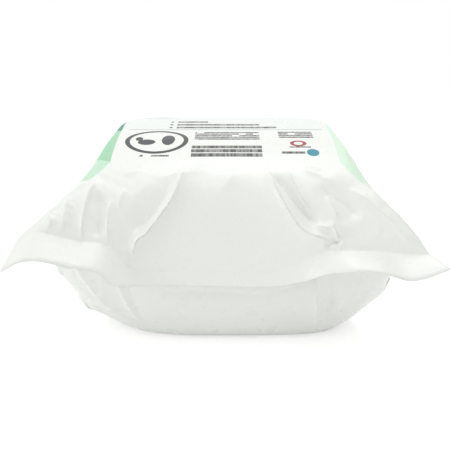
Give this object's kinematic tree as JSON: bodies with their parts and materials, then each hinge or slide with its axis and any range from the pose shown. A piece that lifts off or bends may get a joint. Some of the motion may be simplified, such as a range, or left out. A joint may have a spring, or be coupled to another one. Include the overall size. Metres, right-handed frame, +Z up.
{
  "type": "wet wipes pack",
  "caption": "Sealed soft film bag of premoistened wipes, lying on its back, full round the roll inside, with a flat seal and flared ears at each end.",
  "frame": {"origin": "middle of the pack's outline seen from above, on the surface it lies on", "axes": "+X across the pack from ear to ear, +Y along the pack from its near seal to its far seal, +Z up"},
  "size_m": [0.35, 0.366, 0.1562],
  "materials": {
    "white_film": "white polyethylene film, softly glossy, with pale green printed sides"
  },
  "bodies": {
    "root": {"wipes_pack": "white_film"}
  },
  "joints": []
}
